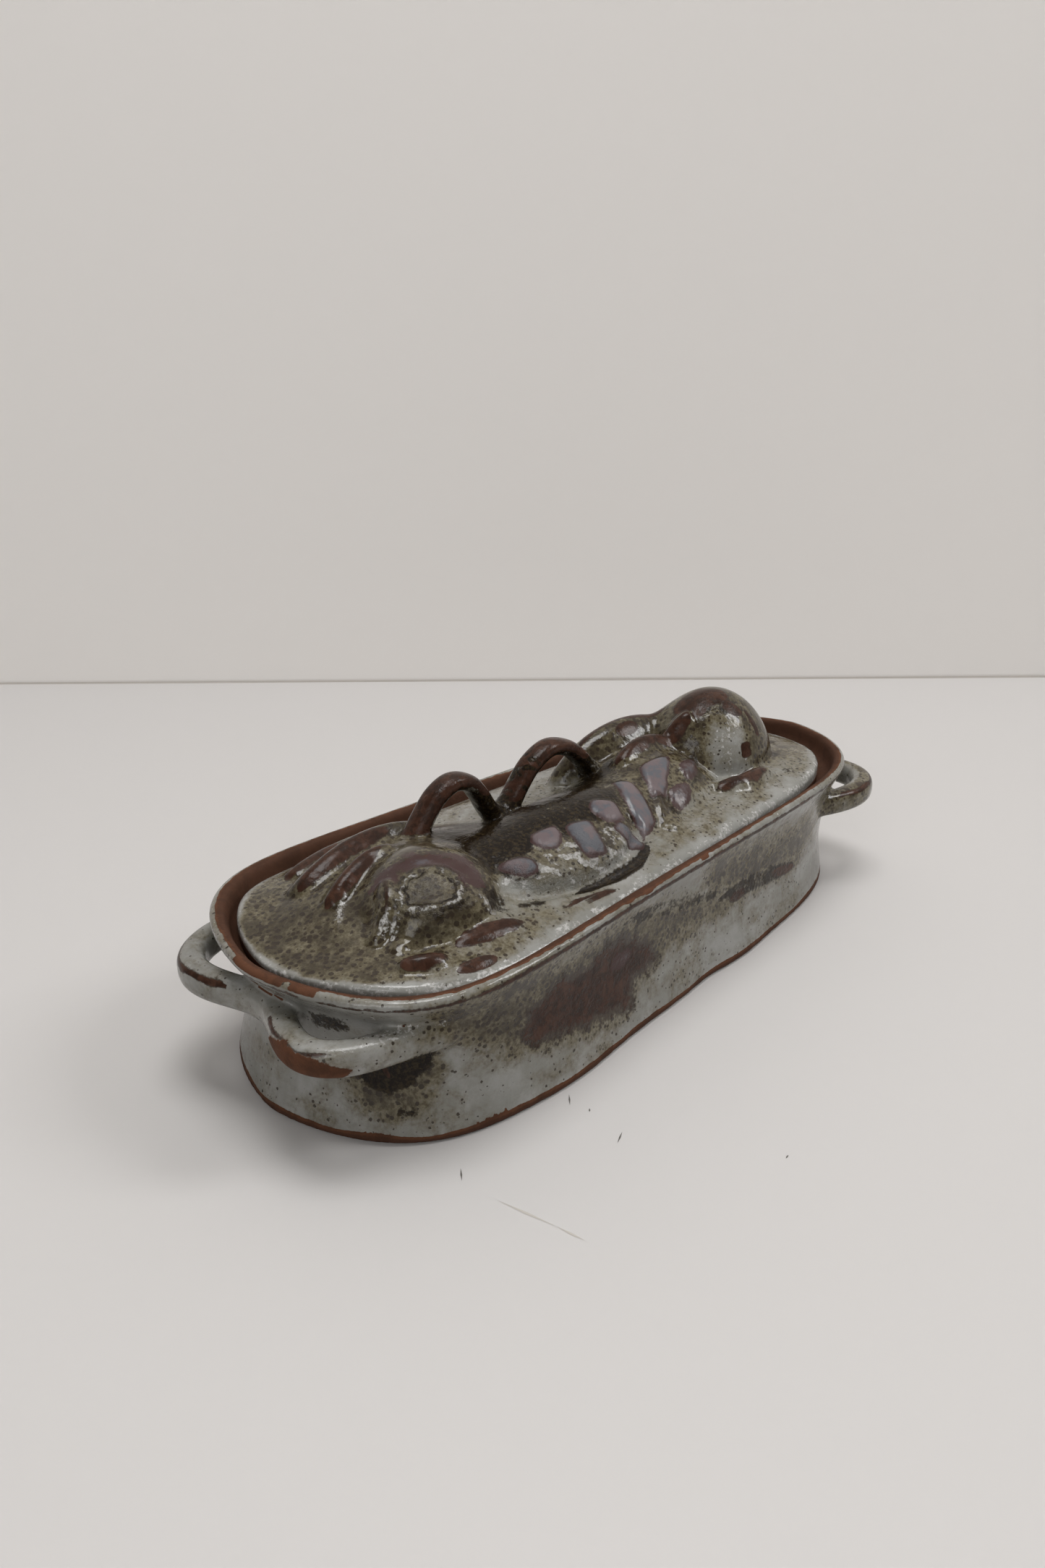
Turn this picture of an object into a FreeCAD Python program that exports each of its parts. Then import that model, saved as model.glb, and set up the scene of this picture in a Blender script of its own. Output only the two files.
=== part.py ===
import FreeCAD
import Part
import math
import os

# Lidded stoneware casserole dish, hand built, for game.
# Two fired pieces: a long dish with a flared rim, an inner ledge and a wavy strap handle luted
# round each end, and a lid that rests on the ledge and carries a reclining animal in relief and
# a strap handle bent into two finger arches. Everything is in millimetres, +Z up, the origin on
# the table under the middle of the dish, +X along the dish towards the animal's head.

V = FreeCAD.Vector

# Dish
rim_length = 420.0
rim_width = 156.0
rim_height = 77.0
rim_taper = 0.15
rim_fullness = 7.8
rim_corner = 1.46
foot_fullness = 6.2
foot_corner = 1.53
foot_end_inset = 6.0
foot_side_inset = 1.5
waist_end_inset = 13.0
waist_side_inset = 5.0
waist_height = 30.0
flare_height = 18.0
lip_thickness = 6.6
wall_thickness = 8.5
floor_thickness = 9.0
ledge_depth = 12.0
ledge_end_width = 16.0
ledge_side_width = 6.5
hand_wave = 0.7

# End handles
strap_height = 14.5
strap_thickness = 12.5
near_strap_reach = 19.0
far_strap_reach = 22.0
strap_half_span = 88.0
strap_drop = 15.8

# Lid
lid_edge_thickness = 7.5
lid_clearance = 2.2
lid_left_gap = 5.0
lid_right_gap = 13.5
lid_doming = 8.0
hollow_length = 300.0
hollow_width = 72.0
hollow_height = 19.0
hollow_at = (-15.0, -12.0)
vent_diameter = 4.6
vent_at = (-62.0, 42.0)

# Lid handle
arch_width = 13.0
arch_thickness = 7.5
arch_line = 20.0
arch_top = 117.0

# Fineness of the outlines and of the modelled surface
outline_points = 24
coarse_step = 9.2
fine_step = 4.9
fine_from_x = -166.0
fine_to_x = 84.0
fine_from_y = -56.0
fine_to_y = -10.0

ledge_height = rim_height - ledge_depth
lid_edge_top = ledge_height + lid_edge_thickness
lid_left_end = -rim_length / 2.0 + lip_thickness + lid_left_gap
lid_right_end = rim_length / 2.0 - lip_thickness - lid_right_gap


def outline_point(angle, half_length, half_width, fullness, corner, shift=0.0):
    """A point of the long rounded plan; the near end (-X) is broader than the far end."""
    along = math.cos(angle)
    across = 1.0 if math.sin(angle) >= 0.0 else -1.0
    span = max(0.0, 1.0 - abs(along) ** fullness) ** (1.0 / corner)
    y = across * half_width * (1.0 - rim_taper * along) * span
    return along * half_length + shift, y


def plan_curve(z, end_inset, side_inset, level=1.0, shift=0.0, wave=0.0):
    """The closed plan at height z, drawn in from the rim; level runs from foot (0) to rim (1)."""
    fullness = foot_fullness + (rim_fullness - foot_fullness) * level
    corner = foot_corner + (rim_corner - foot_corner) * level
    half_length = rim_length / 2.0 - end_inset
    half_width = rim_width / 2.0 - side_inset
    points = []
    for i in range(outline_points):
        angle = 2.0 * math.pi * (i + 0.5) / outline_points
        x, y = outline_point(angle, half_length, half_width, fullness, corner, shift)
        push = wave * (math.sin(3.0 * angle + z / 23.0) + 0.6 * math.sin(5.0 * angle + 1.3))
        points.append(V(x + push * math.cos(angle), y + push * math.sin(angle), z))
    curve = Part.BSplineCurve()
    parameters = [i / float(outline_points) for i in range(outline_points + 1)]
    curve.interpolate(Points=points, PeriodicFlag=True, Parameters=parameters)
    return Part.Wire([curve.toShape()])


def skin(levels):
    """A solid lofted through the given plans."""
    return Part.makeLoft([plan_curve(*level) for level in levels], True, True)


def dish_outside():
    """Foot, waisted wall and flared rim with a rounded lip."""
    top = rim_height
    flare = top - flare_height
    return skin([
        (0.0, foot_end_inset + 1.5, foot_side_inset + 1.2, 0.0, 0.0, hand_wave),
        (2.0, foot_end_inset, foot_side_inset, 0.0, 0.0, hand_wave),
        (7.0, foot_end_inset + 1.5, foot_side_inset + 0.9, 0.1, 0.0, hand_wave),
        (waist_height, waist_end_inset, waist_side_inset, 0.4, 0.0, hand_wave),
        (flare - 10.0, waist_end_inset, waist_side_inset, 0.7, 0.0, hand_wave),
        (flare, waist_end_inset * 0.82, waist_side_inset * 0.8, 0.85, 0.0, hand_wave),
        (top - 8.0, waist_end_inset * 0.28, waist_side_inset * 0.3, 1.0, 0.0, hand_wave),
        (top - 3.5, 0.0, 0.0, 1.0, 0.0, hand_wave),
        (top - 1.0, 0.6, 0.6, 1.0, 0.0, hand_wave),
        (top, 2.3, 2.3, 1.0, 0.0, hand_wave),
    ])


def dish_gallery():
    """The shallow pocket inside the lip that the lid sits in."""
    lip = lip_thickness
    return skin([
        (ledge_height, lip + 2.2, lip + 1.6, 1.0, 0.0, hand_wave),
        (rim_height - 4.0, lip + 0.4, lip + 0.3, 1.0, 0.0, hand_wave),
        (rim_height - 1.0, lip - 0.8, lip - 0.8, 1.0, 0.0, hand_wave),
        (rim_height + 0.6, lip - 3.4, lip - 3.4, 1.0, 0.0, hand_wave),
    ])


def dish_cavity():
    """The inside below the ledge, with a rounded foot to its walls."""
    lip = lip_thickness
    end = lip + 2.2 + ledge_end_width
    side = lip + 1.6 + ledge_side_width
    low_end = waist_end_inset + wall_thickness
    low_side = waist_side_inset + wall_thickness
    return skin([
        (floor_thickness, low_end + 14.0, low_side + 12.0, 0.8),
        (floor_thickness + 2.5, low_end + 6.5, low_side + 5.5, 0.8),
        (floor_thickness + 9.0, low_end + 1.0, low_side + 0.8, 0.8),
        (waist_height, low_end, low_side, 0.8),
        (ledge_height - 12.0, low_end + 0.5, low_side + 0.3, 0.8),
        (ledge_height - 3.0, end, side, 1.0),
        (ledge_height + 1.0, end, side, 1.0),
    ])


def wall_path(sign):
    """Plan points and outward normals of the wall round one end, by length from the tip."""
    half_length = rim_length / 2.0 - waist_end_inset * 0.9
    half_width = rim_width / 2.0 - waist_side_inset * 0.9
    steps = 720
    line = []
    for i in range(steps + 1):
        angle = math.pi * (i / float(steps)) - math.pi / 2.0
        angle = angle if sign > 0 else angle + math.pi
        line.append(outline_point(angle, half_length, half_width, rim_fullness, rim_corner))
    lengths = [0.0]
    for a, b in zip(line, line[1:]):
        lengths.append(lengths[-1] + math.hypot(b[0] - a[0], b[1] - a[1]))
    middle = lengths[steps // 2]
    return line, [length - middle for length in lengths]


def wall_frame(line, lengths, distance):
    """The wall point at a distance from the tip, with its outward normal."""
    index = 1
    while index < len(lengths) - 2 and lengths[index] < distance:
        index += 1
    reach = 6
    low = max(0, index - reach)
    high = min(len(line) - 1, index + reach)
    part = (distance - lengths[index - 1]) / (lengths[index] - lengths[index - 1])
    x = line[index - 1][0] + part * (line[index][0] - line[index - 1][0])
    y = line[index - 1][1] + part * (line[index][1] - line[index - 1][1])
    dx = line[high][0] - line[low][0]
    dy = line[high][1] - line[low][1]
    size = math.hypot(dx, dy)
    return V(x, y, 0.0), V(dy / size, -dx / size, 0.0)


def strap_section(centre, outward, upward, half_thickness, half_height):
    """A flattened strap section with bevelled corners."""
    bevel = 0.55 * half_thickness
    inner = half_thickness - bevel
    shoulder = half_height - bevel
    corners = [
        (half_thickness, -shoulder), (half_thickness, shoulder), (inner, half_height), (-inner, half_height),
        (-half_thickness, shoulder), (-half_thickness, -shoulder), (-inner, -half_height), (inner, -half_height),
    ]
    points = [centre + outward * a + upward * b for a, b in corners]
    return Part.makePolygon(points + points[:1])


def strap_along(curve, across, half_thickness, half_width, count):
    """A strap that follows a curve; across is the direction of its broad face."""
    first = curve.FirstParameter
    last = curve.LastParameter
    sections = []
    for i in range(count):
        part = i / (count - 1.0)
        at = first + (last - first) * part
        tangent = V(*curve.tangent(at)[0])
        normal = tangent.cross(across).normalize()
        thin = 1.0 - 0.25 * abs(2.0 * part - 1.0) ** 8
        sections.append(strap_section(
            curve.value(at), normal, across, half_thickness * thin, half_width * thin))
    return Part.makeLoft(sections, True, True)


def end_handle(sign):
    """One strap luted to the wall at both sides and at the tip, with two finger loops."""
    reach = far_strap_reach if sign > 0 else near_strap_reach
    line, lengths = wall_path(sign)
    centre_height = rim_height - strap_drop - strap_height / 2.0
    count = 17
    points = []
    for i in range(count):
        u = -1.0 + 2.0 * i / (count - 1)
        point, normal = wall_frame(line, lengths, u * strap_half_span)
        lobe = math.sin(math.pi * u) ** 2
        sunk = 1.5 - 6.0 * abs(u) ** 6
        points.append(point + normal * (sunk + reach * lobe) + V(0.0, 0.0, centre_height))
    curve = Part.BSplineCurve()
    curve.interpolate(Points=points)
    return strap_along(curve, V(0.0, 0.0, 1.0), strap_thickness / 2.0, strap_height / 2.0, 23)


def mound(x, y, at_x, at_y, half_length, half_width, turn, height, fullness):
    """Height of a pressed-on oval of clay; a low fullness gives it steep sides."""
    c = math.cos(math.radians(turn))
    s = math.sin(math.radians(turn))
    u = ((x - at_x) * c + (y - at_y) * s) / half_length
    v = ((y - at_y) * c - (x - at_x) * s) / half_width
    return height * max(0.0, 1.0 - u * u - v * v) ** fullness


def lid_plate(x, y):
    """The lid without its animal: low at the edge, gently domed."""
    u = (2.0 * x - lid_left_end - lid_right_end) / (lid_right_end - lid_left_end)
    v = y / (rim_width / 2.0 - lip_thickness - lid_clearance)
    return lid_edge_top + lid_doming * max(0.0, 1.0 - u ** 6) * max(0.0, 1.0 - v ** 4)


def ridge(x, y, line, half_width, height):
    """Height of a ridge drawn with the finger along a bent line, thinning out at its ends."""
    lengths = [math.hypot(b[0] - a[0], b[1] - a[1]) for a, b in zip(line, line[1:])]
    nearest = 1000.0
    along = 0.0
    run = 0.0
    for a, b, length in zip(line, line[1:], lengths):
        part = ((x - a[0]) * (b[0] - a[0]) + (y - a[1]) * (b[1] - a[1])) / length ** 2
        part = min(1.0, max(0.0, part))
        distance = math.hypot(x - a[0] - part * (b[0] - a[0]), y - a[1] - part * (b[1] - a[1]))
        if distance < nearest:
            nearest = distance
            along = (run + part * length) / sum(lengths)
        run += length
    thin = min(1.0, 4.0 * along * (1.0 - along)) ** 0.35
    return height * thin * max(0.0, 1.0 - (nearest / (half_width * (0.55 + 0.45 * thin))) ** 2) ** 1.6


def animal_masses(x, y):
    """The resting animal's body, blended from its main masses."""
    masses = [
        mound(x, y, -108.0, 4.0, 76.0, 52.0, 0.0, 15.0, 1.4),       # rump and tail
        mound(x, y, -122.0, -16.0, 37.0, 34.0, 20.0, 23.0, 0.8),    # haunch
        mound(x, y, -22.0, -12.0, 95.0, 33.0, 0.0, 17.0, 1.0),      # back
        mound(x, y, -46.0, -21.0, 50.0, 32.0, 0.0, 13.0, 0.32),     # belly, with a steep lower edge
        mound(x, y, 52.0, -2.0, 50.0, 38.0, 8.0, 19.0, 1.1),        # shoulder
        mound(x, y, 115.0, 1.0, 43.0, 34.0, -4.0, 41.0, 0.62),      # head
        mound(x, y, 70.0, 28.0, 56.0, 17.0, -8.0, 28.0, 0.75),      # far ear, laid back
    ]
    return sum(h ** 4.0 for h in masses) ** 0.25


def animal_ridges(x, y):
    """The tail's strands, paws, shin and near ear, each drawn as a ridge."""
    ridges = [
        (((-163.0, 32.0), (-147.0, 33.0), (-128.0, 36.0), (-84.0, 34.0)), 11.0, 9.0),    # upper strand
        (((-150.0, 52.0), (-125.0, 56.0), (-98.0, 57.0), (-74.0, 50.0)), 10.0, 7.0),     # far strand
        (((-162.0, 5.0), (-148.0, 9.0), (-134.0, 13.0), (-118.0, 12.0)), 8.0, 7.0),      # lower strand
        (((-163.0, -28.0), (-150.0, -22.0), (-144.0, -12.0)), 6.0, 4.5),                 # hock
        (((-161.0, -36.0), (-146.0, -38.0), (-103.0, -50.0)), 8.0, 4.0),                 # hind leg
        (((-165.0, -47.0), (-155.0, -53.0), (-146.0, -56.0)), 6.5, 4.5),                 # hind paw
        (((31.0, 2.0), (50.0, 4.0), (70.0, 4.0), (90.0, -4.0)), 9.0, 8.0),               # near ear
        (((72.0, -35.0), (90.0, -41.0), (119.0, -40.0)), 8.0, 6.5),                      # forepaw
    ]
    return sum(ridge(x, y, *drawn) for drawn in ridges)


def ribs(x, y):
    """Flat pads of clay pressed along the flank."""
    return max(
        mound(x, y, -81.0, -35.0, 9.0, 6.5, -35.0, 2.8, 0.4),
        mound(x, y, -58.0, -31.0, 10.0, 6.5, 15.0, 2.8, 0.4),
        mound(x, y, -40.0, -40.0, 12.0, 8.0, 60.0, 2.8, 0.4),
        mound(x, y, -13.5, -29.5, 9.5, 8.0, 0.0, 2.8, 0.4),
        mound(x, y, -12.5, -44.0, 9.0, 6.0, -45.0, 2.8, 0.4),
        mound(x, y, 10.0, -28.0, 19.0, 8.0, 65.0, 2.8, 0.4),
        mound(x, y, 42.0, -19.0, 18.0, 8.0, 35.0, 2.8, 0.4),
        mound(x, y, 43.0, -34.0, 13.0, 6.0, 10.0, 2.8, 0.4),
        mound(x, y, 65.0, -22.0, 13.0, 6.0, 35.0, 2.8, 0.4),
    )


def lid_height(x, y):
    """The modelled surface: plate, masses, ridges and pads."""
    return lid_plate(x, y) + animal_masses(x, y) + animal_ridges(x, y) + ribs(x, y)


def lid_half_width(x):
    """Half the lid's width at x, drawn in from the gallery by its clearance."""
    middle = (lid_right_end + lid_left_end) / 2.0
    half_length = (lid_right_end - lid_left_end) / 2.0
    along = min(1.0, max(-1.0, (x - middle) / half_length))
    span = max(0.0, 1.0 - abs(along) ** rim_fullness) ** (1.0 / rim_corner)
    side = rim_width / 2.0 - lip_thickness - lid_clearance - 1.6
    return side * (1.0 - rim_taper * along) * span


def stations(low, high, fine_low, fine_high):
    """Places from low to high, closer together between the fine limits."""
    places = [low]
    while places[-1] < high:
        step = fine_step if fine_low <= places[-1] < fine_high else coarse_step
        places.append(places[-1] + step)
    scale = (high - low) / (places[-1] - low)
    return [low + (place - low) * scale for place in places]


def lid_stations():
    """Where the lid is cut across: closer along the flank and at the rounded ends."""
    tips = (0.2, 1.6, 4.0)
    inner = stations(lid_left_end + 8.0, lid_right_end - 8.0, fine_from_x, fine_to_x)
    left = [lid_left_end + tip for tip in tips]
    right = [lid_right_end - tip for tip in reversed(tips)]
    return left + inner + right


def facet(*corners):
    """A flat face on the given corners."""
    return Part.Face(Part.makePolygon(list(corners) + [corners[0]]))


def lid_slab():
    """The slab of the lid: modelled above in small flats, flat below, upright at its edge."""
    widest = lid_half_width(lid_left_end + (lid_right_end - lid_left_end) * 0.3)
    places = stations(-widest, widest, fine_from_y, fine_to_y)
    rows = []
    for x in lid_stations():
        half = lid_half_width(x)
        row = [(x, half * place / widest) for place in places]
        rows.append([V(px, py, lid_height(px, py)) for px, py in row])
    faces = []
    for near, far in zip(rows, rows[1:]):
        for j in range(len(near) - 1):
            a, b, c, d = near[j], far[j], far[j + 1], near[j + 1]
            if abs(a.z - c.z) < abs(b.z - d.z):
                faces += [facet(a, b, c), facet(a, c, d)]
            else:
                faces += [facet(a, b, d), facet(b, c, d)]
    foot = [[V(point.x, point.y, ledge_height) for point in row] for row in rows]
    for side in (0, -1):
        for i in range(len(rows) - 1):
            faces.append(facet(foot[i][side], foot[i + 1][side], rows[i + 1][side], rows[i][side]))
    for end in (0, -1):
        faces.append(facet(foot[end][0], *rows[end], foot[end][-1]))
    around = [row[0] for row in foot] + [row[-1] for row in reversed(foot)]
    faces.append(facet(*around))
    shell = Part.makeShell(faces)
    shell.sewShape()
    return Part.makeSolid(Part.Shell(shell.Faces))


def lid_hollow():
    """The scoop under the animal, which keeps the clay thin enough to fire."""
    levels = ((0.0, 1.0), (0.35, 0.94), (0.7, 0.78), (1.0, 0.5))
    rings = []
    for rise, spread in levels:
        points = []
        for i in range(28):
            angle = 2.0 * math.pi * i / 28.0
            along = math.copysign(abs(math.cos(angle)) ** 0.8, math.cos(angle))
            across = math.copysign(abs(math.sin(angle)) ** 0.8, math.sin(angle))
            x = hollow_at[0] + spread * along * hollow_length / 2.0
            y = hollow_at[1] + spread * across * hollow_width / 2.0
            points.append(V(x, y, ledge_height - 1.0 + rise * (hollow_height + 1.0)))
        rings.append(Part.makePolygon(points + points[:1]))
    return Part.makeLoft(rings, True, True)


def lid_handle():
    """A strap bent into two finger arches along the animal's back."""
    half = arch_thickness / 2.0
    crown = arch_top - half
    bend = [
        (-100.0, crown - 25.0), (-91.0, crown - 13.0), (-72.0, crown + 0.4), (-54.0, crown - 14.0),
        (-41.0, crown - 29.5), (-28.0, crown - 15.0), (-2.0, crown - 0.9), (22.0, crown - 12.0),
        (33.0, crown - 23.0),
    ]
    curve = Part.BSplineCurve()
    curve.interpolate(Points=[V(x, arch_line, z) for x, z in bend])
    return strap_along(curve, V(0.0, 1.0, 0.0), half, arch_width / 2.0, 23)


def steam_vent():
    """The hole beside the first arch that lets steam out."""
    return Part.makeCylinder(vent_diameter / 2.0, 60.0, V(vent_at[0], vent_at[1], ledge_height - 20.0))


def build_dish():
    body = dish_outside()
    body = body.fuse(end_handle(-1)).fuse(end_handle(1))
    body = body.cut(dish_gallery()).cut(dish_cavity())
    return body.Solids[0]


def build_lid():
    lid = lid_slab().fuse(lid_handle())
    lid = lid.cut(lid_hollow()).cut(steam_vent())
    return lid.Solids[0]


dish = build_dish()
lid = build_lid()
around = dish.optimalBoundingBox()
to_middle = V(-around.Center.x, -around.Center.y, 0.0)

os.makedirs("parts", exist_ok=True)
for name, shape in (("dish", dish), ("lid", lid)):
    shape.translate(to_middle)
    shape.exportStep("parts/%s.step" % name)
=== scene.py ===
import math

import bpy
import numpy as np
from mathutils import Matrix, Vector
from mathutils.kdtree import KDTree


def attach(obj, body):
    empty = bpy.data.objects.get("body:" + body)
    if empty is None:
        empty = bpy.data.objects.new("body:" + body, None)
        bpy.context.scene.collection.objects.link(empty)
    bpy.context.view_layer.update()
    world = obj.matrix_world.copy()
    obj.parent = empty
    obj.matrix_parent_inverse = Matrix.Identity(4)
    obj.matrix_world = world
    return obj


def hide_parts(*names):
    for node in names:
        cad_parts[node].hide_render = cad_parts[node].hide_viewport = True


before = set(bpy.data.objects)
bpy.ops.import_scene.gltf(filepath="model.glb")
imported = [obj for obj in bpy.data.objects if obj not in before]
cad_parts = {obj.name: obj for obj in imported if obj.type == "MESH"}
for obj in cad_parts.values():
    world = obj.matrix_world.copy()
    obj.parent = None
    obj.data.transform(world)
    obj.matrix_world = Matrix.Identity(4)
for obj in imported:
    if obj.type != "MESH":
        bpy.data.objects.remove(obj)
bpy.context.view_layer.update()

scene = bpy.context.scene

# Viewpoint
# The dish is seen from its broad end, from a little above, with the long front wall running
# away to the right. The table is a pale sheet that meets a pale wall behind.
middle_shift = np.array([1.53, 0.27, 0.0])
eye = (np.array([-422.5, -372.2, 329.8]) + middle_shift) / 1000.0
ahead = Vector((0.6586, 0.6471, -0.3841)).normalized()
level_right = ahead.cross(Vector((0.0, 0.0, 1.0))).normalized()
level_up = level_right.cross(ahead)
roll = -0.006692
cam_right = level_right * math.cos(roll) + level_up * math.sin(roll)
cam_up = level_up * math.cos(roll) - level_right * math.sin(roll)

lens = bpy.data.cameras.new("camera")
lens.sensor_fit = "VERTICAL"
lens.sensor_height = 36.0
lens.lens = 26.57
lens.clip_end = 20.0
camera = bpy.data.objects.new("camera", lens)
turned = Matrix((cam_right, cam_up, -ahead)).transposed().to_4x4()
camera.matrix_world = Matrix.Translation(Vector(eye)) @ turned
scene.collection.objects.link(camera)
scene.camera = camera
scene.view_settings.view_transform = "Standard"


# Table and wall
# A matt off-white table top with a few scuffs, and a plain wall that stands behind its far
# edge; a thin dark strip at the wall's foot is painted shade where they meet. None of them
# belongs to the dish.
def plain_material(name, colour, rough):
    material = bpy.data.materials.new(name)
    material.use_nodes = True
    shader = material.node_tree.nodes["Principled BSDF"]
    shader.inputs["Base Color"].default_value = (*colour, 1.0)
    shader.inputs["Roughness"].default_value = rough
    shader.inputs["Specular IOR Level"].default_value = 0.3
    return material


def flat_sheet(name, corners, material):
    mesh = bpy.data.meshes.new(name)
    mesh.from_pydata(corners, [], [(0, 1, 2, 3)])
    mesh.materials.append(material)
    sheet = bpy.data.objects.new(name, mesh)
    scene.collection.objects.link(sheet)


table_back = Vector((ahead.x, ahead.y, 0.0)).normalized()
table_side = Vector((table_back.y, -table_back.x, 0.0))
edge_distance = 1.047
near_distance = -2.5
half_breadth = 3.5
wall_foot, wall_top = -0.4, 3.0
shade_strip_height = 0.0018


def on_table(back, side, height=0.0):
    """A place so far behind the viewer's foot point and so far to the right of it."""
    start = Vector((eye[0], eye[1], 0.0))
    place = start + table_back * back + table_side * side
    return (place.x, place.y, height)


def upright(back, low, high):
    """Corners of a sheet that stands across the view."""
    return [on_table(back, -half_breadth, low), on_table(back, half_breadth, low),
            on_table(back, half_breadth, high), on_table(back, -half_breadth, high)]


flat_sheet(
    "table_top",
    [on_table(near_distance, -half_breadth), on_table(near_distance, half_breadth),
     on_table(edge_distance, half_breadth), on_table(edge_distance, -half_breadth)],
    plain_material("table paint", (0.525, 0.508, 0.496), 0.5))
flat_sheet("back_wall", upright(edge_distance, wall_foot, wall_top),
           plain_material("wall paint", (0.86, 0.83, 0.80), 0.9))
# Painted shade: a thin dark strip at the wall's foot stands in for the shade line where wall and table meet.
flat_sheet("painted_shade_line", upright(edge_distance - 0.001, 0.0, shade_strip_height),
           plain_material("seam shade", (0.60, 0.56, 0.52), 0.9))


def table_mark(number, start, end, half_width, material):
    """A thin scuff lying on the table between two places, tapered at both ends."""
    start, end = Vector(start), Vector(end)
    middle = (start + end) / 2.0
    across = Vector((start.y - end.y, end.x - start.x)).normalized() * half_width
    just_above = 0.0001
    corners = [(*place, just_above) for place in (start, middle - across, end, middle + across)]
    flat_sheet("table_mark_" + str(number), corners, material)


dark_scuff = plain_material("dark scuff", (0.12, 0.11, 0.10), 0.7)
faint_scuff = plain_material("faint scuff", (0.46, 0.43, 0.39), 0.7)
short_scuffs = [
    ((-0.1684, -0.0865), (-0.1732, -0.0924)),
    ((-0.1017, -0.0863), (-0.107, -0.0917)),
    ((-0.1026, -0.0994), (-0.1045, -0.1011)),
    ((-0.1046, -0.1199), (-0.1118, -0.1232)),
    ((-0.0677, -0.1793), (-0.0705, -0.1798)),
]
long_scratches = [
    ((-0.1709, -0.1103), (-0.1649, -0.1373)),
    ((-0.1649, -0.1373), (-0.1627, -0.1499)),
]
for number, (start, end) in enumerate(short_scuffs + long_scratches):
    if number < len(short_scuffs):
        table_mark(number, start, end, 0.0004, dark_scuff)
    else:
        table_mark(number, start, end, 0.0006, faint_scuff)


# Light
# A broad soft window light from the right, a weaker one from overhead and a pale room behind
# the viewer, so the front wall is lit and the near end falls into half shade.
lit_place = (0.0, 0.0, 0.05)
dish_distance = 0.56


def soft_light(name, place, size, power):
    lamp = bpy.data.lights.new(name, "AREA")
    lamp.shape = "RECTANGLE"
    lamp.size = size[0]
    lamp.size_y = size[1]
    lamp.energy = power
    holder = bpy.data.objects.new(name, lamp)
    holder.location = place
    holder.rotation_euler = (Vector(lit_place) - Vector(place)).to_track_quat("-Z", "Y").to_euler()
    scene.collection.objects.link(holder)


def near_dish(back, side, height):
    """A place behind the dish, to its right and up, as the viewer sees it."""
    return Vector(on_table(dish_distance + back, side, height))


soft_light("window", near_dish(0.5, 3.6, 3.0), (1.9, 1.9), 150.0)
soft_light("ceiling", near_dish(0.1, 0.1, 2.6), (1.3, 1.0), 40.0)
soft_light("room", near_dish(-2.4, -0.8, 1.6), (1.8, 1.4), 22.0)
world = bpy.data.worlds.new("room air")
scene.world = world
world.use_nodes = True
world.node_tree.nodes["Background"].inputs["Color"].default_value = (1.0, 0.985, 0.96, 1.0)
world.node_tree.nodes["Background"].inputs["Strength"].default_value = 0.22


# Clay forms
# Both pieces are hand built from one iron-bearing stoneware. Closed plans are set one over the
# other for walls, straps are bent along a line, and wet clay is softened where parts meet.
egg_taper = 0.15


def egg_width(along, half_width, fullness, corner):
    """Half the width of an egg-shaped plan at a place from -1 to 1 along it."""
    span = np.maximum(0.0, 1.0 - np.abs(along) ** fullness) ** (1.0 / corner)
    return half_width * (1.0 - egg_taper * along) * span


def plan_ring(count, half_length, half_width, fullness, corner):
    """A closed egg-shaped plan, broader at its left end: places and the angle of each."""
    angle = 2.0 * math.pi * (np.arange(count) + 0.5) / count
    along = np.cos(angle)
    side = np.where(np.sin(angle) >= 0.0, 1.0, -1.0)
    return along * half_length, side * egg_width(along, half_width, fullness, corner), angle


def smooth_steps(values, parts):
    """A soft curve through a list of rows, with that many steps between each pair."""
    rows = np.array(values, dtype=float)
    padded = np.vstack([2.0 * rows[0] - rows[1], rows, 2.0 * rows[-1] - rows[-2]])
    out = []
    for i in range(1, len(padded) - 2):
        a, b, c, d = padded[i - 1:i + 3]
        for k in range(parts):
            t = k / parts
            out.append(0.5 * (2.0 * b + (c - a) * t + (2.0 * a - 5.0 * b + 4.0 * c - d) * t * t
                              + (3.0 * b - a - 3.0 * c + d) * t ** 3))
    out.append(rows[-1])
    return np.array(out)


def soft_noise(x, y, z, size, seed):
    """Slow hand-made unevenness, mostly between -1 and 1, from a few crossed waves."""
    rng = np.random.default_rng(seed)
    total = np.zeros_like(x)
    for _ in range(7):
        direction = rng.normal(size=3)
        direction /= np.linalg.norm(direction)
        scale = size * rng.uniform(0.7, 1.5)
        phase = rng.uniform(0.0, 2.0 * math.pi)
        along = x * direction[0] + y * direction[1] + z * direction[2]
        total += np.sin(along * 2.0 * math.pi / scale + phase)
    return total / 4.0


def clay_mesh(name, points, faces):
    mesh = bpy.data.meshes.new(name)
    mesh.from_pydata((np.asarray(points) / 1000.0).tolist(), [], faces)
    mesh.validate()
    return mesh


def tube_faces(rings, count):
    """Faces between closed rings of points, and fans from their last two points to both ends."""
    faces = []
    for i in range(rings - 1):
        for j in range(count):
            k = (j + 1) % count
            faces.append((i * count + j, i * count + k, (i + 1) * count + k, (i + 1) * count + j))
    first = rings * count
    for j in range(count):
        k = (j + 1) % count
        faces.append((first, k, j))
        faces.append((first + 1, first - count + j, first - count + k))
    return faces


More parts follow.
